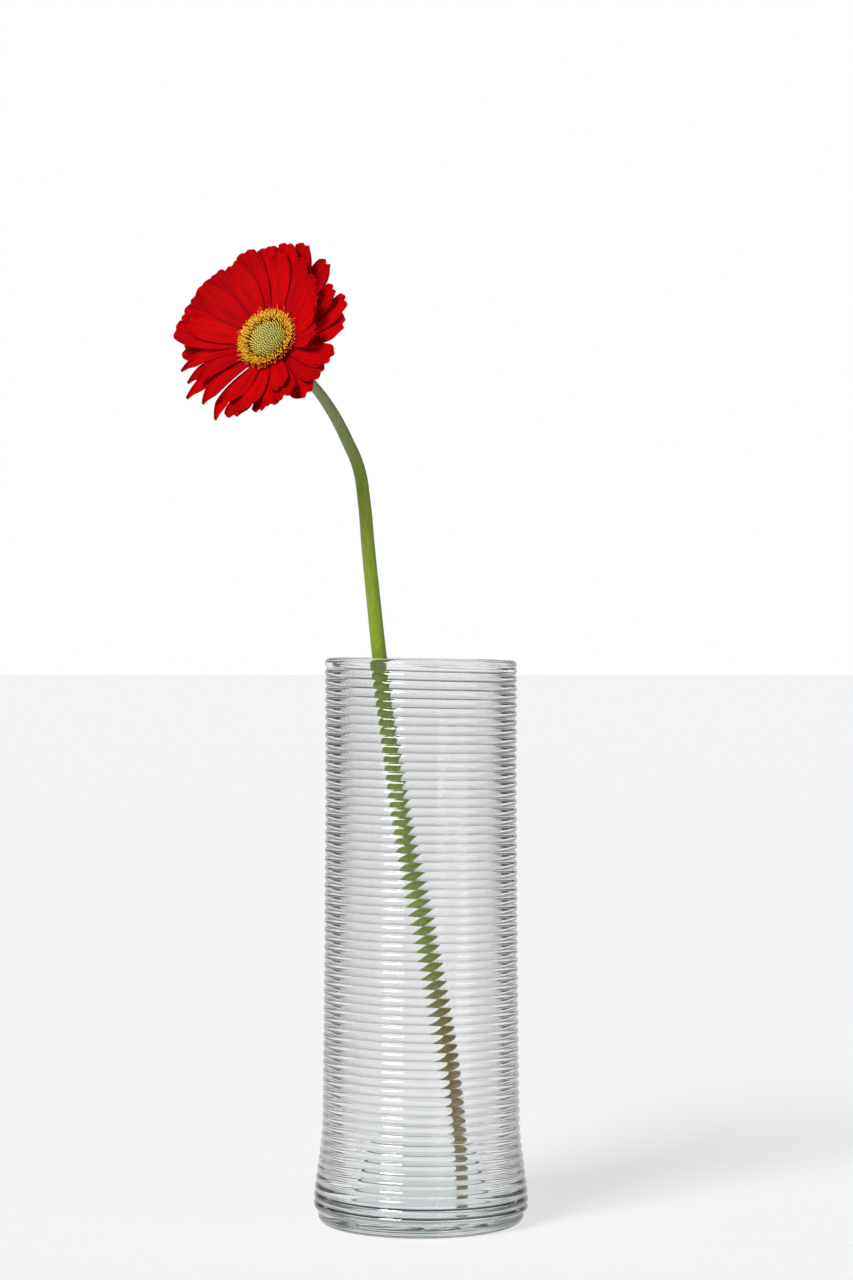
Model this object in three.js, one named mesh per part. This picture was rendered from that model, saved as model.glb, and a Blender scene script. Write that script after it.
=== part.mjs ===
// A cut gerbera standing at a slant in a tall vase of clear threaded glass.
//
// Millimetres, +Z up. The origin is the centre of the vase's flat underside, and the flower leans
// towards -X and -Y. The vase is drawn over the crests of its thread, and its bore is smooth.

import * as THREE from 'three';

const DEGREE = Math.PI / 180;
const GAP = 0.3; // clearance between pieces that touch

// ---- Vase: clear glass, thick wall, plain foot below a projecting last turn of thread ----
const VASE_HEIGHT = 281.2;
const RIM_OUTER = 48.1;
const RIM_INNER = 41.0;
const FOOT_RADIUS = 51.6;
const FOOT_CORNER = 4.5;
const LEDGE_RADIUS = 53.6;
const LEDGE_BOTTOM = 6.2;
const LEDGE_TOP = 12.0;
const FLOOR_HEIGHT = 9.0;
const FLOOR_RADIUS = 33.5;
const FLOOR_FILLET = 4.0;
const VASE_SEGMENTS = 44;
// Radius and height of the thread's crests, from the ledge up: a flare that eases into a straight wall.
const FLARE = [[53.2, 17], [52.2, 24.5], [51.3, 31.5], [50.4, 39], [49.6, 47], [49.1, 68], [48.4, 136],
  [47.95, 216]];
// Radius and height of the bore, from the rim down: the glass thickens towards the floor.
const BORE = [[40.9, 150], [40.4, 70], [38.9, 35]];

// ---- Stalk: foot on the vase's floor, a lean on the rim, and a bend under the flower ----
const STALK_ROUTE = [[22.6, 22.5, 10.6], [21.5, 18, 32], [18.6, 12.5, 58], [14, 7.5, 84], [8.2, 2, 112],
  [1.2, -5, 148], [-5.8, -11, 180], [-11.1, -17, 211], [-15.2, -23, 243], [-18.7, -29, 270],
  [-20.2, -32, 281.5], [-22.9, -36, 307.5], [-25.6, -40, 335], [-27.6, -43, 358], [-30.2, -45.5, 374],
  [-35.5, -48.7, 386.7], [-43.1, -53.5, 401.2], [-52.8, -60.8, 414.2]];
// Fraction of the stalk's length, and its radius there.
const STALK_RADII = [[0, 3.2], [0.2, 3.8], [0.5, 3.8], [0.62, 3.65], [0.78, 3.25], [0.9, 2.85], [1, 2.0]];
const STALK_APPROACH = 6; // the stalk's end is straight for this length, square to the cup
const STALK_STEPS = 46;
const STALK_SIDES = 12;

// ---- Flower head, in its own frame: +Z is the way it faces, and Z = 0 is the lowest petals' root ----
const HEAD_CENTRE = new THREE.Vector3(-70.1, -83.0, 430.7);
const HEAD_FACING = new THREE.Vector3(-0.425, -0.815, 0.392).normalize();
const CUP_BOTTOM = -11.6;
const NECK_RADIUS = 2.3;
const PLUG_RADIUS = 7.2;
const ROUND_SIDES = 24;

// ---- Petals ----
const PETAL_ROOT = 8.0;
const PETAL_THICKNESS = 0.4;
const PETAL_STEPS = 7;
const PETAL_SLOPE = Math.tan(11 * DEGREE); // slope that all petals share where they leave the cup
const PETAL_TROUGH = 0.3; // how far the midrib lies below the edges
const PETAL_NOTCH = 1.1; // depth of the notch in the tip
const CLAW_WIDTH = 0.22; // width at the root, as a share of the widest
const WIDEST_AT = 0.72; // where along the petal it is widest
const ROW_HEIGHTS = [0, 0.95, 1.9, 2.85];
// Each petal: azimuth in degrees (0 is to the right, 90 is up), reach from the centre, height of the
// tip above the root plane, widest width, and row (0 is the back row, 3 is the short front row).
const PETALS = [
  [178, 45.5, 17.0, 12.0, 2], [167, 45.0, 16.0, 12.0, 1], [157, 46.0, 14.0, 12.0, 0],
  [148, 45.0, 15.8, 12.5, 2], [135, 46.5, 13.5, 12.0, 1], [124, 46.0, 12.2, 12.0, 0],
  [111, 45.5, 16.5, 12.5, 2], [98, 46.0, 15.8, 12.0, 1], [90, 46.5, 15.0, 12.5, 0],
  [78, 46.5, 18.5, 11.5, 2], [68, 47.5, 16.0, 11.5, 1], [55, 46.5, 10.5, 12.0, 0],
  [31, 42.0, 13.5, 11.0, 2], [16, 46.0, 12.5, 12.0, 1], [4, 44.0, 9.8, 12.0, 0],
  [-14, 46.0, 13.0, 14.0, 2], [-34, 45.0, 12.0, 12.0, 1], [-48, 46.0, 9.5, 12.5, 0],
  [-59, 45.0, 16.5, 11.5, 2], [-68, 45.0, 15.8, 11.0, 1], [-77, 44.0, 13.2, 9.0, 0],
  [-86, 44.5, 17.5, 10.0, 2], [-98, 46.0, 13.5, 11.5, 1], [-116, 46.5, 7.0, 6.0, 0],
  [-127, 43.5, 12.5, 8.0, 2], [-139, 47.0, 10.5, 7.5, 1], [-153, 44.0, 6.0, 7.0, 0],
  [-164, 45.0, 7.5, 7.0, 2], [-172, 46.0, 6.5, 12.0, 1],
  [120, 38.5, 18.0, 10.0, 3], [85, 39.5, 19.5, 9.0, 3], [62, 40.5, 17.5, 9.0, 3],
  [41, 37.0, 18.5, 9.5, 3], [20, 34.0, 18.0, 10.0, 3], [-5, 34.0, 17.5, 10.0, 3],
  [-60, 33.0, 17.0, 9.0, 3], [-105, 36.0, 15.0, 8.0, 3], [-145, 37.0, 15.0, 8.0, 3],
  [173, 38.5, 18.5, 10.0, 3],
];

// ---- Bracts: one ring of pointed leaves that hug the cup ----
const BRACT_COUNT = 13;
const BRACT_STEPS = 4;
const BRACT_THICKNESS = 0.5;
const BRACT_WIDTH = 4.6;
const BRACT_ROUTE = [[6.9, -8.9], [10.1, -6.4], [12.9, -3.6], [14.6, -1.9], [16.4, -1.1]];

const finish = (color, roughness) => new THREE.MeshStandardMaterial({ color, roughness, metalness: 0 });
const glass = new THREE.MeshStandardMaterial({
  color: 0xe4e6ec, roughness: 0.04, metalness: 0, transparent: true, opacity: 0.35,
});
const stalkGreen = finish(0x86961c, 0.55);
const cupGreen = finish(0x7f8f5a, 0.7);
const petalRed = finish(0xd4050c, 0.5);
const budYellow = finish(0xd6cf62, 0.75);
const floretGold = finish(0xe7a41c, 0.7);
const crownOrange = finish(0xe2521f, 0.7);

const numbered = (index) => String(index + 1).padStart(2, '0');
const point = ([radius, height]) => new THREE.Vector2(radius, height);

/** Points of an arc in the profile plane, both ends included. */
function arc(centreRadius, centreHeight, radius, from, to, steps) {
  return Array.from({ length: steps + 1 }, (_, i) => {
    const angle = (from + ((to - from) * i) / steps) * DEGREE;
    return new THREE.Vector2(
      centreRadius + radius * Math.cos(angle), centreHeight + radius * Math.sin(angle));
  });
}

/** A solid of revolution about +Z from a profile of radius and height. */
function turned(profile, sides) {
  return new THREE.LatheGeometry(profile, sides).rotateX(Math.PI / 2);
}

/** Value at t of a line through [position, value] pairs. */
function along(pairs, t) {
  const last = pairs.findIndex(([position]) => position >= t);
  const end = last < 1 ? 1 : last;
  const [from, low] = pairs[end - 1];
  const [to, high] = pairs[end];
  return THREE.MathUtils.mapLinear(t, from, to, low, high);
}

/** Moves every vertex of a geometry to bend(vertex). */
function bent(geometry, bend) {
  const places = geometry.attributes.position;
  const vertex = new THREE.Vector3();
  for (let i = 0; i < places.count; i += 1) {
    bend(vertex.fromBufferAttribute(places, i));
    places.setXYZ(i, vertex.x, vertex.y, vertex.z);
  }
  return geometry;
}

function named(name, geometry, material) {
  const mesh = new THREE.Mesh(geometry, material);
  mesh.name = name;
  return mesh;
}

function vaseGeometry() {
  const lip = (RIM_OUTER - RIM_INNER) / 2;
  const lipHeight = VASE_HEIGHT - lip;
  return turned([
    point([0, 0]),
    ...arc(FOOT_RADIUS - FOOT_CORNER, FOOT_CORNER, FOOT_CORNER, -90, 0, 4),
    point([FOOT_RADIUS, LEDGE_BOTTOM]),
    point([LEDGE_RADIUS, LEDGE_BOTTOM + 2]),
    point([LEDGE_RADIUS, LEDGE_TOP]),
    ...FLARE.map(point),
    ...arc(RIM_INNER + lip, lipHeight, lip, 0, 180, 8),
    ...BORE.map(point),
    ...arc(FLOOR_RADIUS, FLOOR_HEIGHT + FLOOR_FILLET, FLOOR_FILLET, 0, -90, 4),
    point([0, FLOOR_HEIGHT]),
  ], VASE_SEGMENTS);
}

/** A point on the head's axis, this far behind the neck of the cup. */
function behindNeck(distance) {
  return HEAD_CENTRE.clone().addScaledVector(HEAD_FACING, CUP_BOTTOM - distance);
}

/** A cylinder whose axis is laid along the route, with a radius that changes on the way. */
function stalkGeometry() {
  const places = STALK_ROUTE.map((place) => new THREE.Vector3(...place));
  const route = new THREE.CatmullRomCurve3([...places, behindNeck(STALK_APPROACH), behindNeck(GAP)]);
  const frames = route.computeFrenetFrames(STALK_STEPS);
  const rod = new THREE.CylinderGeometry(1, 1, 1, STALK_SIDES, STALK_STEPS);
  return bent(rod, (vertex) => {
    const share = vertex.y + 0.5;
    const ring = Math.round(share * STALK_STEPS);
    const radius = along(STALK_RADII, share);
    const { x, z } = vertex;
    vertex.copy(route.getPointAt(share))
      .addScaledVector(frames.normals[ring], x * radius)
      .addScaledVector(frames.binormals[ring], -z * radius);
  });
}

/** The cup with its neck below and the plug that carries the petals' roots and the disc. */
function receptacleGeometry() {
  return turned([
    point([0, CUP_BOTTOM]),
    point([NECK_RADIUS, CUP_BOTTOM]),
    point([3.2, -10.3]),
    point([5.9, -8.4]),
    point([9.2, -6.0]),
    point([11.6, -3.4]),
    point([12.4, -1.4]),
    point([11.8, -0.8]),
    point([PLUG_RADIUS, -1.2]),
    point([PLUG_RADIUS, 3.7]),
    point([0, 3.7]),
  ], ROUND_SIDES);
}

const DISC_PIECES = [
  ['disc_centre', budYellow, [[0, 4.0], [9.2, 4.0], [9.2, 5.3], [8.0, 6.2], [5.0, 6.9], [0, 7.2]]],
  ['disc_ring', floretGold,
    [[9.5, 4.3], [13.3, 5.2], [13.5, 7.6], [12.6, 8.4], [10.8, 8.2], [9.5, 6.9], [9.5, 4.3]]],
  ['crown_ring', crownOrange,
    [[13.8, 5.4], [17.4, 6.4], [17.6, 7.4], [16.0, 8.6], [13.8, 8.2], [13.8, 5.4]]],
];

/** Share of the widest width at share s of the petal's length. */
function petalOutline(s) {
  if (s < WIDEST_AT) {
    return CLAW_WIDTH + (1 - CLAW_WIDTH) * Math.sin((s / WIDEST_AT) * (Math.PI / 2)) ** 1.8;
  }
  const rounding = (s - WIDEST_AT) / (1 - WIDEST_AT);
  return CLAW_WIDTH + (1 - CLAW_WIDTH) * Math.sqrt(1 - 0.85 * rounding ** 2);
}

/** A thin slab bent into a petal along +Y: X is across it and Z is the way the flower faces. */
function petalGeometry(reach, tipHeight, width, row) {
  const root = ROW_HEIGHTS[row];
  const lift = tipHeight - root - PETAL_SLOPE * (reach - PETAL_ROOT);
  const slab = new THREE.BoxGeometry(1, 1, 1, 2, PETAL_STEPS, 1);
  return bent(slab, (vertex) => {
    const share = vertex.y + 0.5;
    const fromMidrib = Math.abs(2 * vertex.x);
    const notch = PETAL_NOTCH * (1 - fromMidrib) * share ** 6;
    const run = (reach - PETAL_ROOT) * share;
    vertex.set(
      vertex.x * width * petalOutline(share),
      PETAL_ROOT + run - notch,
      root + PETAL_SLOPE * run + lift * share ** 2.5 + PETAL_TROUGH * fromMidrib * share
        + vertex.z * PETAL_THICKNESS,
    );
  });
}

/** A pointed leaf that follows the cup's side outwards along +Y. */
function bractGeometry() {
  const slab = new THREE.BoxGeometry(1, 1, 1, 2, BRACT_STEPS, 1);
  return bent(slab, (vertex) => {
    const step = Math.round((vertex.y + 0.5) * BRACT_STEPS);
    const [radius, height] = BRACT_ROUTE[step];
    const taper = 1 - 0.85 * (step / BRACT_STEPS) ** 3;
    vertex.set(vertex.x * BRACT_WIDTH * taper * radius / 14, radius, height + vertex.z * BRACT_THICKNESS);
  });
}

/** Turns a piece made along +Y to its azimuth around the flower. */
function aroundHead(mesh, azimuth) {
  mesh.rotation.z = (azimuth - 90) * DEGREE;
  return mesh;
}

function flowerHead() {
  const head = new THREE.Group();
  const right = new THREE.Vector3(0, 0, 1).cross(HEAD_FACING).normalize();
  const up = HEAD_FACING.clone().cross(right);
  head.position.copy(HEAD_CENTRE);
  head.quaternion.setFromRotationMatrix(new THREE.Matrix4().makeBasis(right, up, HEAD_FACING));
  head.add(named('receptacle', receptacleGeometry(), cupGreen));
  for (let i = 0; i < BRACT_COUNT; i += 1) {
    const bract = named(`bract_${numbered(i)}`, bractGeometry(), cupGreen);
    head.add(aroundHead(bract, (360 / BRACT_COUNT) * i));
  }
  PETALS.forEach(([azimuth, reach, tipHeight, width, row], i) => {
    const petal = named(`petal_${numbered(i)}`, petalGeometry(reach, tipHeight, width, row), petalRed);
    head.add(aroundHead(petal, azimuth));
  });
  for (const [name, material, profile] of DISC_PIECES) {
    head.add(named(name, turned(profile.map(point), ROUND_SIDES), material));
  }
  return head;
}

const gerberaInVase = new THREE.Group();
gerberaInVase.add(named('vase', vaseGeometry(), glass));
gerberaInVase.add(named('stalk', stalkGeometry(), stalkGreen));
gerberaInVase.add(flowerHead());

export default gerberaInVase;
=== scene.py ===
"""A cut red gerbera standing at a slant in a tall vase of clear threaded glass."""

import logging
import math
import random
from dataclasses import dataclass, field
from enum import Enum
from typing import Callable, Sequence

import bmesh
import bpy
from mathutils import Matrix, Vector


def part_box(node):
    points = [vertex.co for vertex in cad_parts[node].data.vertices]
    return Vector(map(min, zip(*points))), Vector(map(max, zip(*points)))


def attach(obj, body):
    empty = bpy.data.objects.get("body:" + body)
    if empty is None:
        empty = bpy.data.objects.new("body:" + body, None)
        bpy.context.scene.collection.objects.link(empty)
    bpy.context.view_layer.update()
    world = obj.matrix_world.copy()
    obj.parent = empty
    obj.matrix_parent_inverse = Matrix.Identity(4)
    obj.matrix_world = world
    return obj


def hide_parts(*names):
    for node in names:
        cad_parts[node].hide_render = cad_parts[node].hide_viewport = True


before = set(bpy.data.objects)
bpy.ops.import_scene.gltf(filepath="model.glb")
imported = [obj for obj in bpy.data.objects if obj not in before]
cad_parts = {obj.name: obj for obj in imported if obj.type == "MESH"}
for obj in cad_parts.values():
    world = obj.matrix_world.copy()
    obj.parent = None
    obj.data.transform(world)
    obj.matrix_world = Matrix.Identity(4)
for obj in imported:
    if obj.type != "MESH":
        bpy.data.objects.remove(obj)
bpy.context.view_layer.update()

MM = 0.001
BODY = "root"
LOG = logging.getLogger("gerbera")

Point = tuple[float, float, float]
Colour = tuple[float, float, float]


class Slot(Enum):
    """Material slots of the record."""

    GLASS = "glass"
    STALK = "stalk"
    CUP = "cup"
    PETAL = "petal"
    BUD = "bud"
    FLORET = "floret"
    CROWN = "crown"


# ---------------------------------------------------------------- small helpers


def smooth(low: float, high: float, value: float) -> float:
    """Smooth step from 0 at low to 1 at high."""
    t = min(1.0, max(0.0, (value - low) / (high - low)))
    return t * t * (3 - 2 * t)


def mix(low: float, high: float, share: float) -> float:
    """Value between low and high."""
    return low + (high - low) * share


def along(pairs: Sequence[tuple[float, float]], place: float) -> float:
    """Value at a place on a line through (place, value) pairs.

    Args:
        pairs: The pairs in rising order of place.
        place: Where the value is wanted; outside the pairs it is held.

    Returns:
        The value there.
    """
    if place <= pairs[0][0]:
        return pairs[0][1]
    for (start, low), (end, high) in zip(pairs, pairs[1:]):
        if place <= end:
            return mix(low, high, (place - start) / (end - start))
    return pairs[-1][1]


def deselect_all() -> None:
    """Leaves no object selected."""
    bpy.ops.object.select_all(action="DESELECT")


def activate(piece: bpy.types.Object) -> None:
    """Makes this the only selected object and the active one."""
    deselect_all()
    piece.select_set(True)
    bpy.context.view_layer.objects.active = piece


def apply_modifier(piece: bpy.types.Object, kind: str, **settings: object) -> None:
    """Adds a modifier to a piece and applies it.

    Args:
        piece: The object to change.
        kind: The modifier's type.
        settings: The modifier's properties.
    """
    activate(piece)
    modifier = piece.modifiers.new(kind.title(), kind)
    for name, value in settings.items():
        setattr(modifier, name, value)
    bpy.ops.object.modifier_apply(modifier=modifier.name)


def tidy_mesh(piece: bpy.types.Object, distance: float) -> None:
    """Merges doubled vertices and turns every face outwards.

    Args:
        piece: The object to clean.
        distance: How near two vertices are merged, in metres.
    """
    activate(piece)
    bpy.ops.object.mode_set(mode="EDIT")
    bpy.ops.mesh.select_all(action="SELECT")
    bpy.ops.mesh.remove_doubles(threshold=distance)
    bpy.ops.mesh.dissolve_degenerate(threshold=distance)
    bpy.ops.mesh.select_all(action="SELECT")
    bpy.ops.mesh.normals_make_consistent(inside=False)
    bpy.ops.object.mode_set(mode="OBJECT")


def settle(piece: bpy.types.Object) -> None:
    """Puts a piece's place into its mesh, so that its object sits at the origin."""
    activate(piece)
    bpy.ops.object.transform_apply(location=True, rotation=True, scale=True)


def mesh_piece(name: str, places: Sequence[Point], faces: Sequence[Sequence[int]]) -> bpy.types.Object:
    """An object made from vertices in millimetres.

    Args:
        name: The piece's name.
        places: Vertices, in millimetres.
        faces: Vertex numbers of each face.

    Returns:
        The new object.
    """
    mesh = bpy.data.meshes.new(name)
    mesh.from_pydata([(x * MM, y * MM, z * MM) for x, y, z in places], [], faces)
    piece = bpy.data.objects.new(name, mesh)
    bpy.context.collection.objects.link(piece)
    return piece


def hand_over(piece: bpy.types.Object, slot: Slot, *nodes: str) -> None:
    """Says what a finished piece rides on and which nodes it stands for.

    Args:
        piece: The finished piece.
        slot: The record's material slot; not used.
        nodes: CAD nodes that it replaces.
    """
    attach(piece, BODY)
    if nodes:
        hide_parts(*nodes)
    LOG.info("%s: %d faces", piece.name, len(piece.data.polygons))


# ---------------------------------------------------------------- shader maths


class Wire:
    """A node socket that takes part in Python expressions."""

    def __init__(self, tree: "Tree", socket: bpy.types.NodeSocket) -> None:
        """Holds a socket of a tree."""
        self.tree = tree
        self.socket = socket

    def _math(self, operation: str, *values: object) -> "Wire":
        """Adds a Math node."""
        return self.tree.node("ShaderNodeMath", {"operation": operation}, dict(enumerate(values)))

    def __add__(self, other: object) -> "Wire":
        """Sum."""
        return self._math("ADD", self, other)

    def __radd__(self, other: object) -> "Wire":
        """Reflected sum."""
        return self._math("ADD", other, self)

    def __sub__(self, other: object) -> "Wire":
        """Difference."""
        return self._math("SUBTRACT", self, other)

    def __rsub__(self, other: object) -> "Wire":
        """Reflected difference."""
        return self._math("SUBTRACT", other, self)

    def __mul__(self, other: object) -> "Wire":
        """Product."""
        return self._math("MULTIPLY", self, other)

    def __rmul__(self, other: object) -> "Wire":
        """Reflected product."""
        return self._math("MULTIPLY", other, self)

    def __truediv__(self, other: object) -> "Wire":
        """Quotient."""
        return self._math("DIVIDE", self, other)

    def step(self, low: float, high: float) -> "Wire":
        """Smooth step from 0 at low to 1 at high."""
        return self.tree.node(
            "ShaderNodeMapRange",
            {"interpolation_type": "SMOOTHSTEP"},
            {"Value": self, "From Min": low, "From Max": high},
        )


class Tree:
    """A material's node tree, built by calls."""

    def __init__(self, name: str) -> None:
        """Makes a material with a Principled shader and its output."""
        self.material = bpy.data.materials.new(name)
        self.material.use_nodes = True
        self.nodes = self.material.node_tree.nodes
        self.links = self.material.node_tree.links
        self.shader = self.nodes["Principled BSDF"]

    def node(self, kind: str, settings: dict, inputs: dict, output: object = 0) -> Wire:
        """Adds a node.

        Args:
            kind: The node's type.
            settings: Properties of the node, or the stops of a colour ramp.
            inputs: Socket names or numbers, with values or wires.
            output: Name or number of the output that is returned.

        Returns:
            The output as a wire.
        """
        node = self.nodes.new(kind)
        for key, value in settings.items():
            if key == "stops":
                self._stops(node.color_ramp, value)
            else:
                setattr(node, key, value)
        for key, value in inputs.items():
            self.feed(node.inputs[key], value)
        return Wire(self, node.outputs[output])

    @staticmethod
    def _stops(ramp: bpy.types.ColorRamp, stops: Sequence[tuple[float, Colour]]) -> None:
        """Sets the stops of a colour ramp."""
        while len(ramp.elements) < len(stops):
            ramp.elements.new(1.0)
        for element, (place, colour) in zip(ramp.elements, stops):
            element.position = place
            element.color = (*colour, 1.0)

    def feed(self, socket: bpy.types.NodeSocket, value: object) -> None:
        """Links a wire to a socket, or sets the socket's value."""
        if isinstance(value, Wire):
            self.links.new(value.socket, socket)
        else:
            if isinstance(value, tuple) and len(value) == 3 and socket.type == "RGBA":
                value = (*value, 1.0)
            socket.default_value = value

    def set(self, **inputs: object) -> None:
        """Sets the Principled shader's sockets, with _ for a space in a name."""
        for key, value in inputs.items():
            self.feed(self.shader.inputs[key.replace("_", " ")], value)

    def place(self) -> Wire:
        """Object coordinates."""
        return self.node("ShaderNodeTexCoord", {}, {}, "Object")

    def uv(self) -> Wire:
        """The piece's own UV map."""
        return self.node("ShaderNodeTexCoord", {}, {}, "UV")

    def axis(self, vector: Wire, number: int) -> Wire:
        """One component of a vector."""
        return self.node("ShaderNodeSeparateXYZ", {}, {0: vector}, number)

    def scaled(self, vector: Wire, scale: Point) -> Wire:
        """A vector scaled along each axis."""
        return self.node("ShaderNodeMapping", {}, {"Vector": vector, "Scale": scale})

    def noise(self, vector: Wire, scale: float, detail: float = 2.0, roughness: float = 0.5) -> Wire:
        """Noise between 0 and 1."""
        inputs = {"Vector": vector, "Scale": scale, "Detail": detail, "Roughness": roughness}
        return self.node("ShaderNodeTexNoise", {}, inputs)

    def blend(self, share: object, low: object, high: object) -> Wire:
        """A mix of two colours."""
        return self.node("ShaderNodeMix", {"data_type": "RGBA"}, {0: share, 6: low, 7: high}, 2)

    def ramp(self, value: Wire, stops: Sequence[tuple[float, Colour]]) -> Wire:
        """A colour ramp."""
        return self.node("ShaderNodeValToRGB", {"stops": stops}, {"Fac": value})

    def bump(self, height: Wire, distance: float, strength: float = 1.0) -> Wire:
        """A bump that feeds Normal."""
        return self.node(
            "ShaderNodeBump", {}, {"Height": height, "Distance": distance, "Strength": strength}
        )

    def attribute(self, name: str) -> Wire:
        """A float attribute of the mesh."""
        return self.node("ShaderNodeAttribute", {"attribute_name": name}, {}, "Fac")


# ---------------------------------------------------------------- finishes


@dataclass(frozen=True)
class GlassFinish:
    """Clear thick glass with a grey-green foot."""

    wall: Colour = (0.975, 0.98, 0.985)
    foot: Colour = (0.86, 0.925, 0.93)
    ior: float = 1.5
    foot_height: float = 0.012

    def build(self) -> bpy.types.Material:
        """Makes the material."""
        tree = Tree("threaded_glass")
        height = tree.axis(tree.place(), 2)
        tint = tree.blend(height.step(self.foot_height * 0.6, self.foot_height * 1.6), self.foot, self.wall)
        tree.set(Base_Color=tint, Roughness=0.0, IOR=self.ior, Transmission_Weight=1.0)
        return tree.material


@dataclass(frozen=True)
class PetalFinish:
    """Satin red with fine veins along the petal, and a purplish painted sheen along its long sides."""

    deep: Colour = (0.2, 0.0, 0.002)
    face: Colour = (0.46, 0.0004, 0.002)
    bright: Colour = (0.68, 0.0006, 0.002)
    # Purplish colour of the painted sheen on the petal's long sides.
    sheen_edge: Colour = (0.34, 0.002, 0.03)
    vein_count: float = 30.0

    def build(self) -> bpy.types.Material:
        """Makes the material."""
        tree = Tree("petal_red")
        uv = tree.uv()
        streaks = tree.noise(tree.scaled(uv, (self.vein_count, 1.6, 1.0)), 1.0, 3.0, 0.6)
        broad = tree.noise(tree.scaled(uv, (5.0, 1.2, 1.0)), 1.0, 2.0)
        tone = tree.attribute("tone")
        body = tree.blend(streaks.step(0.32, 0.66), self.deep, self.face)
        body = tree.blend((broad * 0.75 + tone * 0.25).step(0.3, 0.75), body, self.bright)
        length = tree.axis(uv, 1)
        claw = 1.0 - length.step(0.0, 0.28)
        body = tree.blend(claw * 0.6, body, self.deep)
        # Painted sheen: the petal's long sides are tinted purplish, as a grazing-light sheen would show them.
        side = tree.node("ShaderNodeMath", {"operation": "ABSOLUTE"}, {0: tree.axis(uv, 0) - 0.5})
        body = tree.blend(side.step(0.44, 0.5) * 0.3, body, self.sheen_edge)
        tree.set(
            Base_Color=body,
            Roughness=0.66,
            Specular_IOR_Level=0.04,
            Normal=tree.bump(streaks, 0.0005, 0.7),
        )
        return tree.material


@dataclass(frozen=True)
class StalkFinish:
    """Yellow-green skin, greyer and downy near the flower and brown-olive at the foot."""

    foot: Colour = (0.24, 0.165, 0.02)
    middle: Colour = (0.215, 0.315, 0.003)
    upper: Colour = (0.19, 0.27, 0.01)
    downy: Colour = (0.23, 0.29, 0.13)
    streak: Colour = (0.06, 0.09, 0.004)
    freckle: Colour = (0.36, 0.42, 0.12)
    height: float = 0.43

    def build(self) -> bpy.types.Material:
        """Makes the material."""
        tree = Tree("stalk_skin")
        place = tree.place()
        share = tree.axis(place, 2) / self.height
        base = tree.ramp(
            share,
            [(0.05, self.foot), (0.2, self.foot), (0.34, self.middle), (0.72, self.middle),
             (0.86, self.upper), (0.95, self.downy)],
        )
        streaks = tree.noise(tree.scaled(place, (1.0, 1.0, 0.04)), 1400.0, 2.0)
        freckles = tree.noise(place, 900.0, 3.0)
        body = tree.blend(streaks.step(0.3, 0.75) * 0.35, base, self.streak)
        body = tree.blend(freckles.step(0.58, 0.8) * 0.3, body, self.freckle)
        tree.set(
            Base_Color=body,
            Roughness=0.5,
            Specular_IOR_Level=0.4,
            Sheen_Weight=0.15,
            Normal=tree.bump(streaks * 0.7 + freckles * 0.3, 0.0003, 0.5),
        )
        return tree.material


@dataclass(frozen=True)
class LeafFinish:
    """Downy grey-green leaf of the cup and bracts."""

    dark: Colour = (0.10, 0.15, 0.035)
    light: Colour = (0.25, 0.31, 0.12)

    def build(self) -> bpy.types.Material:
        """Makes the material."""
        tree = Tree("cup_leaf")
        place = tree.place()
        mottle = tree.noise(place, 500.0, 4.0, 0.6)
        tree.set(
            Base_Color=tree.blend(mottle.step(0.3, 0.7), self.dark, self.light),
            Roughness=0.65,
            Sheen_Weight=0.3,
            Normal=tree.bump(mottle, 0.0003, 0.6),
        )
        return tree.material


@dataclass(frozen=True)
class FloretFinish:
    """Matt floret that goes from one colour at its root to another at its tip."""

    name: str
    root: Colour
    tip: Colour
    outer_tip: Colour

    def build(self) -> bpy.types.Material:
        """Makes the material."""
        tree = Tree(self.name)
        speckle = tree.noise(tree.place(), 1500.0, 2.0)
        share = (tree.attribute("tip") + (speckle - 0.5) * 0.5).step(0.25, 0.95)
        tip = tree.blend(tree.attribute("ring"), self.tip, self.outer_tip)
        tree.set(
            Base_Color=tree.blend(share, self.root, tip),
            Roughness=0.7,
            Specular_IOR_Level=0.3,
            Normal=tree.bump(speckle, 0.0001, 0.4),
        )
        return tree.material


# ---------------------------------------------------------------- vase


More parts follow.
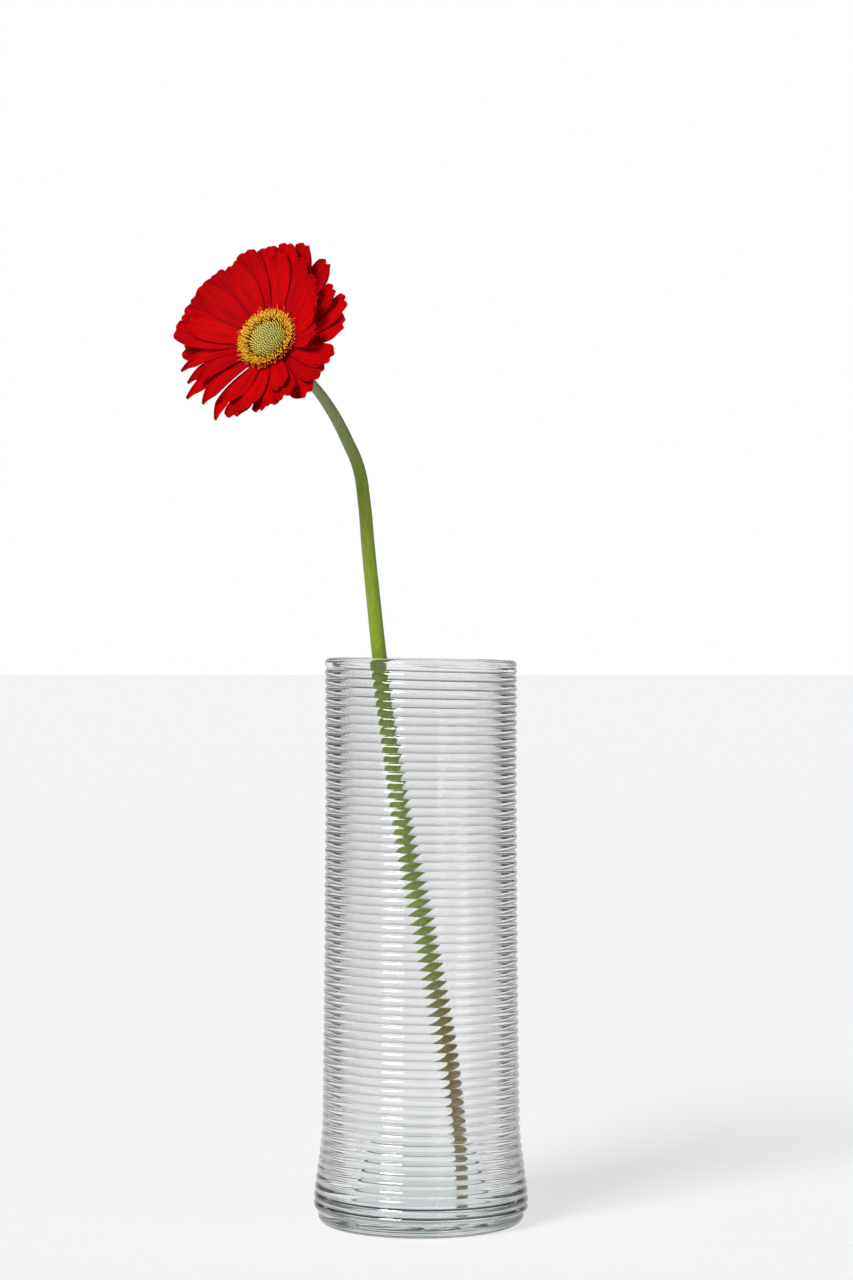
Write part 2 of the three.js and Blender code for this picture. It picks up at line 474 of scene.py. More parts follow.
@dataclass
class Vase:
    """Thick-walled glass with one left-handed thread from the rim to the ledge, in millimetres."""

    pitch: float = 4.4
    first_crest: float = 9.75
    rib_round: float = 3.0
    segments: int = 144
    foot_radius: float = 51.6
    foot_corner: float = 4.5
    thread_bottom: float = 6.2
    lip_height: float = 2.4
    rim_fade: float = 0.35
    floor_height: float = 9.0
    floor_radius: float = 33.5
    floor_fillet: float = 4.0
    rim_fall: float = 0.7
    rim_radius: float = 48.0
    base_hollow: float = 0.9
    standing_radius: float = 47.0
    crests: tuple = (
        (6.2, 53.5), (12.0, 53.6), (17.0, 53.2), (24.5, 52.2), (31.5, 51.3), (39.0, 50.4), (47.0, 49.6),
        (68.0, 49.1), (136.0, 48.4), (216.0, 47.95), (277.0, 48.1),
    )
    bore: tuple = (
        (13.0, 37.5), (22.0, 38.2), (35.0, 38.9), (70.0, 40.4), (150.0, 40.9), (277.8, 41.0),
    )
    phases: tuple = (-0.5, -0.45, -0.34, -0.17, 0.0, 0.17, 0.34, 0.45)
    ledge_rise: float = 1.5
    bore_bottom: float = 13.0
    lip_steps: int = 14
    bore_steps: int = 40
    corner_steps: int = 6
    underside_steps: int = 12
    slant_length: float = 60.0
    merge_distance: float = 2e-6
    height: float = field(init=False)

    def __post_init__(self) -> None:
        """Takes the height from the frame."""
        self.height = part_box("vase")[1][2] / MM

    def _radius(self, height: float, phase: float) -> float:
        """Outer radius on the thread.

        Args:
            height: Height on the wall.
            phase: Place across the strand, from -0.5 at its lower groove to 0.5.

        Returns:
            The radius.
        """
        crest = along(self.crests, height)
        depth = self.rib_round - math.sqrt(self.rib_round**2 - (self.pitch * phase) ** 2)
        top = self.height - self.lip_height
        depth *= 1.0 - smooth(top - self.rim_fade * self.pitch, top, height)
        radius = crest - depth
        rise = smooth(self.thread_bottom, self.thread_bottom + self.ledge_rise, height)
        return mix(self.foot_radius, radius, rise)

    def _ring(self, radius: float, height: float) -> list[Point]:
        """Vertices of a level ring."""
        turn = 2 * math.pi / self.segments
        return [
            (-radius * math.cos(turn * i), -radius * math.sin(turn * i), height) for i in range(self.segments)
        ]

    def _threaded_wall(self) -> tuple[list[Point], list[tuple[int, ...]]]:
        """Vertices and faces of the outer wall, whose rows follow the thread.

        Returns:
            The vertices and the faces, clamped level at both ends.
        """
        count = len(self.phases)
        top = self.height - self.lip_height
        turns = math.ceil((top - self.thread_bottom) / self.pitch) + 3
        rows = turns * count
        places = []
        for i in range(self.segments):
            share = i / self.segments
            angle = 2 * math.pi * share
            for row in range(rows):
                strand, step = divmod(row, count)
                phase = self.phases[step]
                height = self.first_crest + self.pitch * (strand - 1 + phase - share)
                held = min(top, max(self.thread_bottom, height))
                radius = self._radius(held, phase)
                places.append((-radius * math.cos(angle), -radius * math.sin(angle), held))
        faces = []
        for i in range(self.segments):
            last = i == self.segments - 1
            for row in range(rows - 1):
                right = (0 if last else (i + 1) * rows) + row - (count if last else 0)
                if last and row < count:
                    continue
                left = i * rows + row
                faces.append((left, right, right + 1, left + 1))
        return places, faces

    def _plain_rings(self) -> list[list[tuple[float, float]]]:
        """Radius and height of the rings over the lip and down the bore, and of those around the foot."""
        top = self.height - self.lip_height
        outer = along(self.crests, top)
        inner = along(self.bore, top)
        middle, half = (outer + inner) / 2, (outer - inner) / 2
        lip_angles = [math.pi * i / self.lip_steps for i in range(self.lip_steps + 1)]
        lip = [(middle + half * math.cos(a), top + self.lip_height * math.sin(a)) for a in lip_angles]
        drop = (top - self.bore_bottom) / self.bore_steps
        heights = [top - drop * i for i in range(1, self.bore_steps + 1)]
        wall = [(along(self.bore, z), z) for z in heights]
        quarter = [math.pi / 2 * i / self.corner_steps for i in range(self.corner_steps + 1)]
        centre = self.floor_height + self.floor_fillet
        fillet = [
            (self.floor_radius + self.floor_fillet * math.cos(a), centre - self.floor_fillet * math.sin(a))
            for a in quarter[1:]
        ]
        shares = [1 - i / self.corner_steps for i in range(1, self.corner_steps)]
        floor = [(self.floor_radius * share, self.floor_height) for share in shares]
        inside = lip + wall + fillet + floor
        corner = [
            (self.foot_radius - self.foot_corner * (1 - math.cos(a)), self.foot_corner * (1 - math.sin(a)))
            for a in quarter
        ]
        base = [
            (self.standing_radius * (1 - i / self.underside_steps), self.base_hollow * smooth(0, 3, i))
            for i in range(self.underside_steps)
        ]
        under = [(self.foot_radius, self.thread_bottom)] + corner + base
        return [inside, under]

    def build(self) -> bpy.types.Object:
        """Lays out the glass; a thread can't be spun, so its rows are placed one by one.

        Returns:
            The finished vase.
        """
        places, faces = self._threaded_wall()
        for rings, centre_height in zip(self._plain_rings(), (self.floor_height, self.base_hollow)):
            start = len(places)
            for radius, height in rings:
                places.extend(self._ring(radius, height))
            for ring in range(len(rings) - 1):
                for i in range(self.segments):
                    j = (i + 1) % self.segments
                    low, high = start + ring * self.segments, start + (ring + 1) * self.segments
                    faces.append((low + i, low + j, high + j, high + i))
            centre = len(places)
            places.append((0.0, 0.0, centre_height))
            last = centre - self.segments
            faces.extend((last + i, last + (i + 1) % self.segments, centre) for i in range(self.segments))
        piece = mesh_piece("threaded_vase", [self._slant(place) for place in places], faces)
        tidy_mesh(piece, self.merge_distance)
        activate(piece)
        bpy.ops.object.shade_smooth()
        piece.data.materials.append(GlassFinish().build())
        hand_over(piece, Slot.GLASS, "vase")
        return piece

    def _slant(self, place: Point) -> Point:
        """Lets the rim fall a little from left to right, as the thread does."""
        x, y, z = place
        share = smooth(self.height - self.slant_length, self.height, z)
        return x, y, z - self.rim_fall * share * x / self.rim_radius


# ---------------------------------------------------------------- stalk


@dataclass
class Stalk:
    """The bare stalk, from its foot on the vase's floor to the neck of the cup, in millimetres."""

    head: "Head"
    route: tuple = (
        (22.6, 22.5, 10.6), (21.5, 18, 32), (18.6, 12.5, 58), (14, 7.5, 84), (8.2, 2, 112),
        (1.2, -5, 148), (-5.8, -11, 180), (-11.1, -17, 211), (-15.2, -23, 243), (-18.7, -29, 270),
        (-20.2, -32, 281.5), (-22.9, -36, 307.5), (-25.6, -40, 335), (-27.6, -43, 358),
        (-30.2, -45.5, 374), (-35.5, -48.7, 386.7), (-43.1, -53.5, 401.2), (-52.8, -60.8, 414.2),
    )
    radii: tuple = ((0, 3.2), (0.2, 3.8), (0.5, 3.8), (0.62, 3.65), (0.78, 3.25), (0.9, 2.85), (1, 2.0))
    approach: float = 6.0

    def build(self) -> bpy.types.Object:
        """Bends a round tube along the route.

        Returns:
            The finished stalk.
        """
        ends = [self.head.behind_neck(self.approach), self.head.behind_neck(0.0)]
        route = [Vector(place) for place in self.route] + ends
        deselect_all()
        bpy.ops.curve.primitive_bezier_curve_add(location=(0, 0, 0))
        piece = bpy.context.object
        piece.name = "flower_stalk"
        curve = piece.data
        spline = curve.splines[0]
        spline.bezier_points.add(len(route) - 2)
        lengths = [0.0]
        for start, end in zip(route, route[1:]):
            lengths.append(lengths[-1] + (end - start).length)
        for point, place, length in zip(spline.bezier_points, route, lengths):
            point.co = place * MM
            point.handle_left_type = point.handle_right_type = "AUTO"
            point.radius = along(self.radii, length / lengths[-1])
        curve.dimensions = "3D"
        curve.resolution_u = 10
        curve.bevel_depth = MM
        curve.bevel_resolution = 8
        curve.use_fill_caps = True
        activate(piece)
        bpy.ops.object.convert(target="MESH")
        piece = bpy.context.object
        tidy_mesh(piece, 1e-6)
        bpy.ops.object.shade_smooth_by_angle(angle=math.radians(50))
        piece.data.materials.clear()
        piece.data.materials.append(StalkFinish().build())
        hand_over(piece, Slot.STALK, "stalk")
        return piece


# ---------------------------------------------------------------- flower head


@dataclass
class Head:
    """Where the flower head is and which way it faces, in millimetres."""

    centre: Point = (-70.1, -83.0, 430.7)
    facing: Point = (-0.425, -0.815, 0.392)
    cup_bottom: float = -11.6

    def basis(self) -> Matrix:
        """Matrix from the head's own frame to the object's, in millimetres."""
        facing = Vector(self.facing).normalized()
        right = Vector((0, 0, 1)).cross(facing).normalized()
        up = facing.cross(right)
        turn = Matrix((right, up, facing)).transposed()
        return Matrix.Translation(Vector(self.centre)) @ turn.to_4x4()

    def behind_neck(self, distance: float) -> Vector:
        """A point on the head's axis, this far behind the neck of the cup."""
        return self.basis() @ Vector((0, 0, self.cup_bottom - distance))

    def place(self, piece: bpy.types.Object, azimuth: float = 90.0) -> None:
        """Moves a piece made in the head's frame, along +Y, to its place in the object.

        Args:
            piece: The piece, with vertices in metres.
            azimuth: Direction around the head, in degrees.
        """
        turn = Matrix.Rotation(math.radians(azimuth - 90.0), 4, "Z")
        scale = Matrix.Scale(MM, 4)
        whole = scale @ self.basis() @ turn @ scale.inverted()
        piece.data.transform(whole)


@dataclass(frozen=True)
class PetalShape:
    """One petal's place and size, in degrees and millimetres."""

    azimuth: float
    reach: float
    tip_height: float
    width: float
    row: int


@dataclass
class Petals:
    """The ray florets, in three long rows and a short front one."""

    head: Head
    root: float = 8.0
    slope: float = math.tan(math.radians(11.0))
    trough: float = 0.3
    hooked_below: float = 8.5
    hook: float = 8.0
    claw: float = 0.34
    claw_ease: float = 1.35
    blunt_tip: float = 0.74
    pointed_tip: float = 0.06
    lift_ease: float = 2.5
    end_ease: float = 9.0
    corner_drop: float = 4.2
    notch_width: float = 0.24
    side_notch_width: float = 0.2
    fluting: float = 0.18
    widest: float = 0.78
    broadening: float = 1.1
    rows: tuple = (0.0, 0.95, 1.9, 2.85)
    across: int = 18
    lengthwise: int = 36
    thickness: float = 0.32
    shapes: tuple = (
        (178, 45.5, 17.0, 12.0, 2), (167, 45.0, 16.0, 12.0, 1), (157, 46.0, 14.0, 12.0, 0),
        (148, 45.0, 15.8, 12.5, 2), (135, 46.5, 13.5, 12.0, 1), (124, 46.0, 12.2, 12.0, 0),
        (111, 45.5, 16.5, 12.5, 2), (98, 44.8, 15.8, 12.0, 1), (90, 45.0, 15.0, 12.5, 0),
        (78, 45.0, 18.5, 11.5, 2), (68, 47.5, 16.0, 11.5, 1), (55, 46.5, 10.5, 12.0, 0),
        (31, 42.0, 13.5, 11.0, 2), (16, 46.0, 12.5, 12.0, 1), (4, 44.0, 9.8, 12.0, 0),
        (-20, 46.0, 13.0, 12.0, 2), (-34, 45.0, 12.0, 12.0, 1), (-48, 46.0, 9.5, 12.5, 0),
        (-59, 45.0, 16.5, 11.5, 2), (-68, 45.0, 15.8, 11.0, 1), (-77, 44.0, 13.2, 9.0, 0),
        (-86, 44.5, 17.5, 10.0, 2), (-98, 46.0, 13.5, 11.5, 1), (-116, 46.5, 7.0, 7.0, 0),
        (-127, 43.5, 12.5, 8.0, 2), (-139, 47.0, 10.5, 7.5, 1), (-153, 44.0, 6.0, 7.0, 0),
        (-164, 45.0, 7.5, 7.0, 2), (-172, 46.0, 6.5, 12.0, 1),
        (120, 41.5, 15.0, 11.0, 3), (85, 40.5, 17.0, 9.5, 3), (62, 40.5, 17.5, 9.0, 3),
        (41, 37.0, 18.5, 9.5, 3), (20, 34.0, 18.0, 10.0, 3), (-5, 34.0, 17.5, 10.0, 3),
        (-60, 36.0, 13.5, 9.5, 3), (-105, 38.0, 12.5, 9.0, 3), (-145, 38.0, 11.5, 8.0, 3),
        (173, 41.0, 15.0, 11.0, 3),
    )

    def _outline(self, share: float, pointed: bool) -> float:
        """Share of the widest width at this share of the length, to a blunt or a pointed end."""
        if share < self.widest:
            rise = math.sin(share / self.widest * math.pi / 2) ** self.claw_ease
            return self.claw + (1 - self.claw) * rise
        rounding = (share - self.widest) / (1 - self.widest)
        if pointed:
            return mix(1.0, self.pointed_tip, rounding**1.3)
        return mix(1.0, self.blunt_tip, rounding**2)

    def _surface(self, shape: PetalShape, chance: random.Random) -> Callable[[float, float], Point]:
        """The petal's surface, its lengths eased by powers of the share along it.

        Args:
            shape: The petal.
            chance: Its own random numbers.

        Returns:
            A function from place across (-1 to 1) and along (0 to 1) to a point in millimetres.
        """
        root = self.rows[shape.row]
        reach = shape.reach - self.root
        lift = shape.tip_height - root - self.slope * reach
        hooked = shape.width < self.hooked_below
        broad = 1.0 if hooked else self.broadening
        trough = self.trough * (5.0 if hooked else 1.0)
        hook = self.hook if hooked else 0.0
        fold = chance.uniform(0.16, 0.36)
        sway = chance.uniform(-1.2, 1.2)
        twist = chance.uniform(-0.06, 0.06)
        phase = chance.uniform(0, 6.28)
        notch = 0.0 if hooked else chance.uniform(0.8, 2.0)
        notch_at = chance.uniform(-0.2, 0.2)
        notch_side = chance.choice((-0.6, 0.6))
        curl = chance.uniform(-0.6, 1.0)
        ridges = chance.uniform(1.7, 2.3)

        def surface(across: float, share: float) -> Point:
            """One point."""
            width = shape.width / 2 * broad * self._outline(share, hooked)
            end = share**self.end_ease
            aside = across * width / (shape.width / 2)
            corner = (0.0 if hooked else self.corner_drop) * abs(aside) ** 2.6
            notches = notch * (
                math.exp(-(((aside - notch_at) / self.notch_width) ** 2))
                + 0.4 * math.exp(-(((aside - notch_at + notch_side) / self.side_notch_width) ** 2))
            )
            run = reach * share
            x = across * width + sway * share**2 * 1.6 + hook * (0.55 * share**1.2 - share**3.5)
            y = self.root + run - end * (notches + corner)
            z = root + self.slope * run + lift * share**self.lift_ease
            z += trough * abs(across) ** 1.5 * share
            z += fold * math.cos(across * math.pi * ridges) * smooth(0.1, 0.5, share) * (1 - 0.3 * share)
            z += twist * across * width * share
            z += self.fluting * math.sin(9.0 * share + phase) * across * share
            z += curl * share**6 * (0.35 + across * across * 0.5)
            return x, y, z

        return surface

    def _grid(self, name: str, surface: Callable[[float, float], Point]) -> bpy.types.Object:
        """A sheet of faces over a surface, with a UV map across and along it.

        Args:
            name: The piece's name.
            surface: Point at a place across and along.

        Returns:
            The sheet.
        """
        deselect_all()
        bpy.ops.mesh.primitive_grid_add(
            x_subdivisions=self.across, y_subdivisions=self.lengthwise, size=2, calc_uvs=True
        )
        piece = bpy.context.object
        piece.name = piece.data.name = name
        for vertex in piece.data.vertices:
            x, y, _ = vertex.co
            vertex.co = Vector(surface(x, (y + 1) / 2)) * MM
        return piece

    def build(self) -> list[bpy.types.Object]:
        """Makes every petal.

        Returns:
            The petals.
        """
        material = PetalFinish().build()
        petals = []
        for number, values in enumerate(self.shapes, start=1):
            shape = PetalShape(*values)
            chance = random.Random(100 + number)
            piece = self._grid(f"ray_petal_{number:02d}", self._surface(shape, chance))
            apply_modifier(piece, "SOLIDIFY", thickness=self.thickness * MM, offset=0.0)
            self.head.place(piece, shape.azimuth)
            tone = piece.data.attributes.new("tone", "FLOAT", "POINT")
            value = chance.uniform(0.2, 0.8)
            tone.data.foreach_set("value", [value] * len(piece.data.vertices))
            activate(piece)
            bpy.ops.object.shade_smooth()
            piece.data.materials.append(material)
            hand_over(piece, Slot.PETAL, f"petal_{number:02d}")
            petals.append(piece)
        return petals


@dataclass
class Cup:
    """The receptacle and the bracts that hug it, in the head's own frame."""

    head: Head
    profile: tuple = (
        (0.0, -11.6), (2.1, -11.6), (2.7, -10.9), (3.6, -10.0), (5.6, -8.6), (8.9, -6.2), (11.2, -3.6),
        (12.1, -1.6), (11.5, -0.9), (7.0, -1.2), (7.0, 3.6), (0.0, 3.6),
    )
    bract_rows: tuple = ((13, 0.0, 1.0, 0.0), (13, 13.8, 0.82, 0.55), (11, 5.0, 0.6, 1.0))
    bract_route: tuple = (
        (0.0, 6.3, -9.2), (0.25, 9.6, -6.9), (0.5, 12.7, -4.0), (0.75, 14.6, -2.0), (1.0, 16.4, -1.2),
    )

    def build(self) -> list[bpy.types.Object]:
        """Makes the cup and its bracts.

        Returns:
            The pieces.
        """
        material = LeafFinish().build()
        cup = self._cup()
        cup.data.materials.append(material)
        hand_over(cup, Slot.CUP, "receptacle")
        pieces = [cup]
        number = 0
        for count, offset, size, inset in self.bract_rows:
            for i in range(count):
                number += 1
                bract = self._bract(f"leaf_bract_{number:02d}", size, inset, number)
                self.head.place(bract, offset + 360 / count * i)
                activate(bract)
                bpy.ops.object.shade_smooth()
                bract.data.materials.append(material)
                nodes = (f"bract_{number:02d}",) if number <= 13 else ()
                hand_over(bract, Slot.CUP, *nodes)
                pieces.append(bract)
        return pieces

    def _cup(self) -> bpy.types.Object:
        """Spins the cup's profile around the head's axis."""
        cup = mesh_piece("flower_cup", [(r, 0.0, z) for r, z in self.profile], [])
        bm = bmesh.new()
        bm.from_mesh(cup.data)
        bm.verts.ensure_lookup_table()
        for i in range(len(bm.verts) - 1):
            bm.edges.new((bm.verts[i], bm.verts[i + 1]))
        bm.to_mesh(cup.data)
        bm.free()
        activate(cup)
        bpy.ops.object.mode_set(mode="EDIT")
        bpy.ops.mesh.select_all(action="SELECT")
        bpy.ops.mesh.spin(steps=48, angle=2 * math.pi, center=(0, 0, 0), axis=(0, 0, 1))
        bpy.ops.object.mode_set(mode="OBJECT")
        tidy_mesh(cup, 1e-6)
        self.head.place(cup)
        bpy.ops.object.shade_smooth_by_angle(angle=math.radians(40))
        return cup

    def _bract(self, name: str, size: float, inset: float, seed: int) -> bpy.types.Object:
        """A pointed leaf with a keel, bent along the cup.

        Args:
            name: The piece's name.
            size: Length, as a share of the longest.
            inset: How far below the first row it lies.
            seed: Its random number.

        Returns:
            The bract, in the head's frame along +Y.
        """
        chance = random.Random(seed)
        width = 5.2 * chance.uniform(0.85, 1.0)
        deselect_all()
        bpy.ops.mesh.primitive_grid_add(x_subdivisions=6, y_subdivisions=12, size=2)
        piece = bpy.context.object
        piece.name = piece.data.name = name
        for vertex in piece.data.vertices:
            across, share = vertex.co.x, (vertex.co.y + 1) / 2
            radius = along([(s, r) for s, r, _ in self.bract_route], share * size)
            height = along([(s, h) for s, _, h in self.bract_route], share * size)
            taper = (1 - share**2.2) * (0.55 + 0.45 * smooth(0.0, 0.4, share)) + 0.03
            height += -inset - 0.35 + 0.4 * abs(across) * (1 - share)
            vertex.co = Vector((across * width / 2 * taper, radius + inset * 0.3, height)) * MM
        apply_modifier(piece, "SOLIDIFY", thickness=0.35 * MM, offset=0.0)
        return piece


@dataclass
class Disc:
    """Buds, open florets and the crown of filaments, in the head's own frame."""

    head: Head
    bud_count: int = 190
    floret_count: int = 420
    filament_count: int = 230
    golden_angle: float = 137.508
    bud_radius: float = 8.8
    floret_radius: float = 12.6
    bud_foot: float = 4.4
    floret_foot: float = 4.6
    filament_foot: float = 4.8
    bud_radii: tuple = (0.36, 0.4, 0.3, 0.1)
    floret_radii: tuple = (0.24, 0.27, 0.34, 0.26, 0.1)
    filament_radii: tuple = (0.17, 0.14, 0.15, 0.09)

    def build(self) -> list[bpy.types.Object]:
        """Makes the three zones of the disc; each finish goes from root to inner tip and outer tip.

        Returns:
            The pieces.
        """
        buds = self._buds()
        florets = self._florets()
        crown = self._crown()
        buds.data.materials.append(
            FloretFinish("bud_yellow", (0.74, 0.66, 0.14), (0.93, 0.91, 0.40), (0.92, 0.74, 0.10)).build()
        )
        florets.data.materials.append(
            FloretFinish("floret_gold", (0.62, 0.24, 0.006), (0.93, 0.76, 0.09), (0.93, 0.54, 0.03)).build()
        )
        crown.data.materials.append(
            FloretFinish("crown_orange", (0.55, 0.01, 0.006), (0.95, 0.48, 0.06), (0.92, 0.30, 0.05)).build()
        )
        hand_over(buds, Slot.BUD, "disc_centre")
        hand_over(florets, Slot.FLORET, "disc_ring")
        hand_over(crown, Slot.CROWN, "crown_ring")
        return [buds, florets, crown]

    def _many(
        self, name: str, places: list[Point], faces: list, tips: list[float], low: float, high: float
    ) -> bpy.types.Object:
        """A piece of many small closed shapes, with a tip attribute.

        Args:
            name: The piece's name.
            places: Vertices, in millimetres.
            faces: Faces.
            tips: How near the tip each vertex is, from 0 to 1.
            low: Radius up to which the inner colour is plain.
            high: Radius from which the outer colour is plain.

        Returns:
            The piece, in place.
        """
        piece = mesh_piece(name, places, faces)
        attribute = piece.data.attributes.new("tip", "FLOAT", "POINT")
        attribute.data.foreach_set("value", tips)
        rings = [smooth(low, high, math.hypot(x, y)) for x, y, _ in places]
        attribute = piece.data.attributes.new("ring", "FLOAT", "POINT")
        attribute.data.foreach_set("value", rings)
        self.head.place(piece)
        activate(piece)
        bpy.ops.object.shade_smooth()
        return piece

    @staticmethod
    def _strand(
        route: Sequence[Vector], radii: Sequence[float], sides: int, start: int
    ) -> tuple[list[Point], list, list[float]]:
        """A closed tube along a short route.

        Args:
            route: Points of its centre line.
            radii: Radius at each point.
            sides: Number of sides.
            start: Number of the first vertex.

        Returns:
            Vertices, faces and tip values.
        """
        places, tips, faces = [], [], []
        for i, (centre, radius) in enumerate(zip(route, radii)):
            ahead = (route[min(i + 1, len(route) - 1)] - route[max(i - 1, 0)]).normalized()
            side = ahead.orthogonal().normalized()
            other = ahead.cross(side)
            for k in range(sides):
                angle = 2 * math.pi * k / sides
                aside = side * math.cos(angle) + other * math.sin(angle)
                places.append(tuple(centre + aside * radius))
                tips.append(i / (len(route) - 1))
        for i in range(len(route) - 1):
            for k in range(sides):
                j = (k + 1) % sides
                low, high = start + i * sides, start + (i + 1) * sides
                faces.append((low + k, low + j, high + j, high + k))
        faces.append(tuple(start + k for k in reversed(range(sides))))
        faces.append(tuple(start + (len(route) - 1) * sides + k for k in range(sides)))
        return places, faces, tips

    def _buds(self) -> bpy.types.Object:
        """Closed buds in a spiral, over a low dome."""
        chance = random.Random(7)
        places, faces, tips = [], [], []
        for k in range(self.bud_count):
            radius = self.bud_radius * math.sqrt((k + 0.5) / self.bud_count)
            angle = math.radians(self.golden_angle * k)
            foot = Vector((radius * math.cos(angle), radius * math.sin(angle), self.bud_foot))
            lean = Vector((math.cos(angle), math.sin(angle), 0)) * (radius / self.bud_radius) * 0.3
            height = 3.3 - 0.9 * (radius / self.bud_radius) ** 2 + chance.uniform(-0.12, 0.12)
            route = [foot + (lean + Vector((0, 0, 1))) * height * t for t in (0, 0.55, 0.85, 1.0)]
            part = self._strand(route, self.bud_radii, 6, len(places))
            for total, some in zip((places, faces, tips), part):
                total.extend(some)
        return self._many("closed_buds", places, faces, tips, 4.0, 10.0)

    def _florets(self) -> bpy.types.Object:
        """Open florets with their anther columns, leaning outwards."""
        chance = random.Random(8)
        places, faces, tips = [], [], []
        for k in range(self.floret_count):
            radius = mix(self.bud_radius, self.floret_radius, math.sqrt((k + 0.5) / self.floret_count))
            angle = math.radians(self.golden_angle * k)
            outward = Vector((math.cos(angle), math.sin(angle), 0))
            side = Vector((-outward.y, outward.x, 0))
            foot = outward * radius + Vector((0, 0, self.floret_foot))
            share = (radius - self.bud_radius) / (self.floret_radius - self.bud_radius)
            rise = mix(2.5, 3.3, share) + chance.uniform(-0.35, 0.35)
            lean = outward * mix(0.15, 0.55, share) + side * chance.uniform(-0.3, 0.3)
            up = Vector((0, 0, 1))
            route = [foot + (up + lean * t) * rise * t for t in (0, 0.5, 0.8, 1.0, 1.12)]
            part = self._strand(route, self.floret_radii, 5, len(places))
            for total, some in zip((places, faces, tips), part):
                total.extend(some)
        return self._many("open_florets", places, faces, tips, 9.0, 14.0)

    def _crown(self) -> bpy.types.Object:
        """Fine curling filaments around the disc."""
        chance = random.Random(9)
        places, faces, tips = [], [], []
        for k in range(self.filament_count):
            angle = 2 * math.pi * (k + chance.uniform(-0.4, 0.4)) / self.filament_count
            outward = Vector((math.cos(angle), math.sin(angle), 0))
            side = Vector((-outward.y, outward.x, 0))
            foot = outward * chance.uniform(12.2, 14.2) + Vector((0, 0, self.filament_foot))
            length = chance.uniform(2.4, 4.2)
            spread = chance.uniform(0.3, 0.95)
            curl = chance.uniform(-1.2, 1.2)
            route = [
                foot
                + outward * length * spread * t**1.4
                + side * curl * t * t
                + Vector((0, 0, 1)) * length * (0.95 * t - 0.25 * t * t)
                for t in (0, 0.35, 0.7, 1.0)
            ]
            part = self._strand(route, self.filament_radii, 4, len(places))
            for total, some in zip((places, faces, tips), part):
                total.extend(some)
        return self._many("crown_filaments", places, faces, tips, 13.0, 17.0)


# ---------------------------------------------------------------- studio


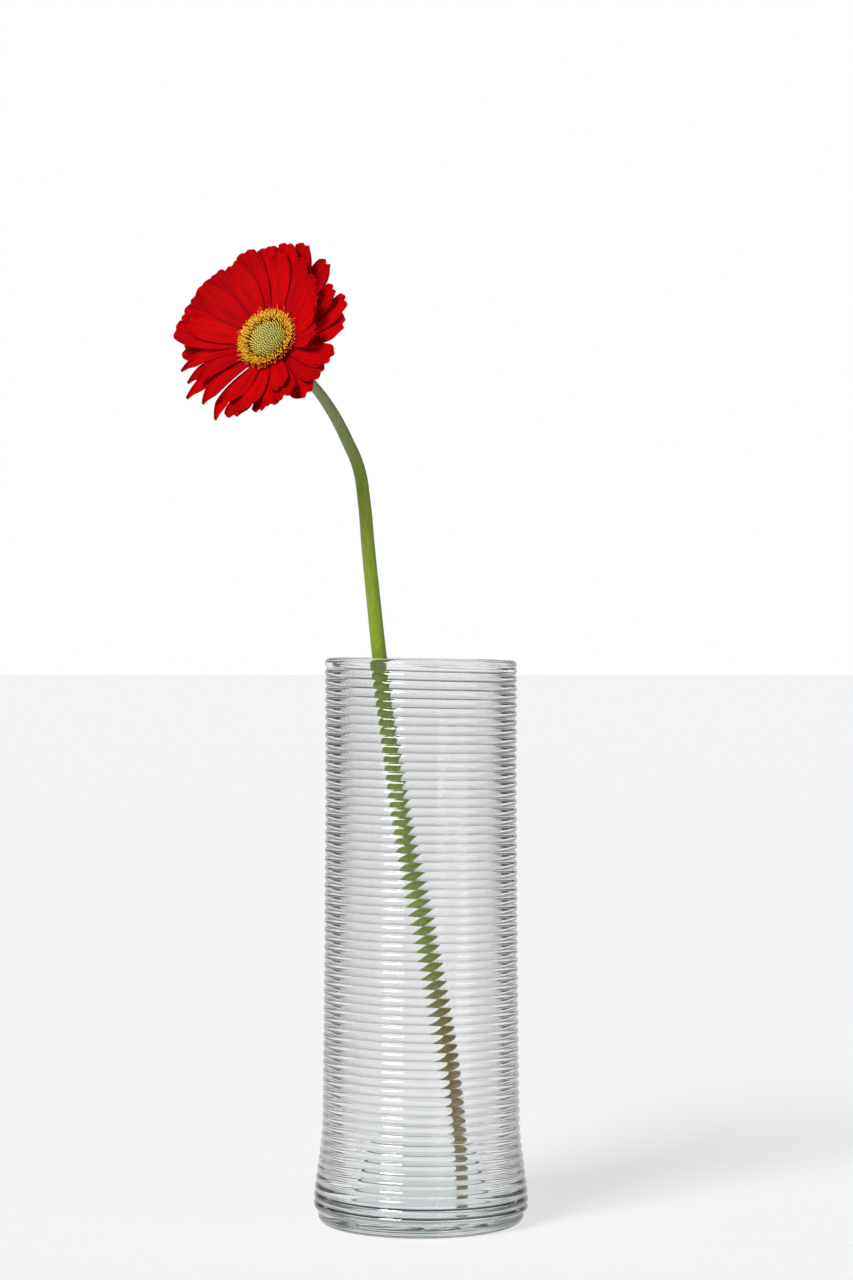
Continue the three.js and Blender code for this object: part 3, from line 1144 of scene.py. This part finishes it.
@dataclass
class Studio:
    """Pale floor, soft light and the camera."""

    camera_place: Point = (0.00275, -1.6, 0.2905)
    lens: float = 90.0
    floor_grey: float = 0.36
    floor_glow: float = 0.66
    ceiling_from: float = 0.38
    backdrop_edge: tuple = (0.42, 0.62)
    backdrop_top: float = 0.03
    behind_share: float = 0.55
    behind_from: tuple = (-0.1, 0.3)
    floor_size: float = 50.0
    key_towards: Point = (-1.1, -1.5, 1.3)
    fill_towards: Point = (1.4, -0.9, 0.5)
    room_dimness: float = 0.07

    def build(self) -> None:
        """Sets the stage."""
        self._floor()
        self._world()
        self._lights()
        self._camera()
        scene = bpy.context.scene
        scene.view_settings.view_transform = "Standard"
        scene.view_settings.look = "None"

    def _floor(self) -> None:
        """A wide pale floor that gives off some light, so the glass isn't dark underneath."""
        deselect_all()
        bpy.ops.mesh.primitive_plane_add(size=self.floor_size, location=(0, 0, 0))
        floor = bpy.context.object
        floor.name = "studio_floor"
        settle(floor)
        tree = Tree("studio_floor")
        tree.set(
            Base_Color=(self.floor_grey, self.floor_grey, self.floor_grey),
            Roughness=0.9,
            Specular_IOR_Level=0.1,
            Emission_Color=(1.0, 1.0, 1.0),
            Emission_Strength=self.floor_glow,
        )
        floor.data.materials.append(tree.material)

    def _world(self) -> None:
        """A white backdrop in a room that is dim overhead and at the sides.

        The dim parts are what the glass shows as dark lines. Seen directly, all of it is plain white.
        """
        world = bpy.data.worlds.new("studio")
        bpy.context.scene.world = world
        world.use_nodes = True
        nodes, links = world.node_tree.nodes, world.node_tree.links

        def add(kind: str, settings: dict, *inputs: object) -> bpy.types.NodeSocket:
            """Adds a node with these inputs and returns its first output."""
            node = nodes.new(kind)
            for key, value in settings.items():
                setattr(node, key, value)
            for socket, value in zip(node.inputs, inputs):
                if isinstance(value, bpy.types.NodeSocket):
                    links.new(value, socket)
                else:
                    socket.default_value = value
            return node.outputs[0]

        split = nodes.new("ShaderNodeSeparateXYZ")
        links.new(nodes.new("ShaderNodeTexCoord").outputs["Generated"], split.inputs[0])
        sideways, forward, up = split.outputs
        step = {"interpolation_type": "SMOOTHSTEP"}
        above = add("ShaderNodeMapRange", step, up, self.backdrop_top, self.ceiling_from, 1.0, 0.0)
        spread = add("ShaderNodeMath", {"operation": "ABSOLUTE"}, sideways)
        beside = add("ShaderNodeMapRange", step, spread, *self.backdrop_edge, 1.0, 0.0)
        ahead = add("ShaderNodeMapRange", step, forward, *self.behind_from, self.behind_share, 1.0)
        panel = add("ShaderNodeMath", {"operation": "MULTIPLY"}, above, beside)
        panel = add("ShaderNodeMath", {"operation": "MULTIPLY"}, panel, ahead)
        room = add("ShaderNodeMapRange", {}, panel, 0.0, 1.0, self.room_dimness, 1.0)
        seen = nodes.new("ShaderNodeLightPath").outputs["Is Camera Ray"]
        level = add("ShaderNodeMath", {"operation": "MAXIMUM"}, room, seen)
        background = nodes["Background"]
        links.new(level, background.inputs["Strength"])
        background.inputs["Color"].default_value = (1.0, 1.0, 1.0, 1.0)

    def _light(self, name: str, towards: Point, softness: float, power: float) -> None:
        """A distant soft light.

        Args:
            name: The light's name.
            towards: Direction from the vase to the light.
            softness: Angle that the light spans, in degrees.
            power: Its strength.
        """
        deselect_all()
        bpy.ops.object.light_add(type="SUN", location=towards)
        light = bpy.context.object
        light.name = name
        light.data.angle = math.radians(softness)
        light.data.energy = power
        light.rotation_euler = (-Vector(towards)).to_track_quat("-Z", "Y").to_euler()

    def _lights(self) -> None:
        """A key light from the upper left and a weak fill from the right."""
        self._light("key", self.key_towards, 24.0, 2.9)
        self._light("fill", self.fill_towards, 30.0, 0.45)

    def _camera(self) -> None:
        """A level camera with a long lens."""
        deselect_all()
        bpy.ops.object.camera_add(location=self.camera_place, rotation=(math.pi / 2, 0, 0))
        camera = bpy.context.object
        camera.data.lens = self.lens
        camera.data.clip_end = 60.0
        bpy.context.scene.camera = camera


def main() -> None:
    """Builds the flower, the vase and the studio in order."""
    logging.basicConfig(level=logging.INFO, format="%(message)s")
    head = Head()
    Vase().build()
    Stalk(head).build()
    Cup(head).build()
    Petals(head).build()
    Disc(head).build()
    Studio().build()


if __name__ == "__main__":
    main()
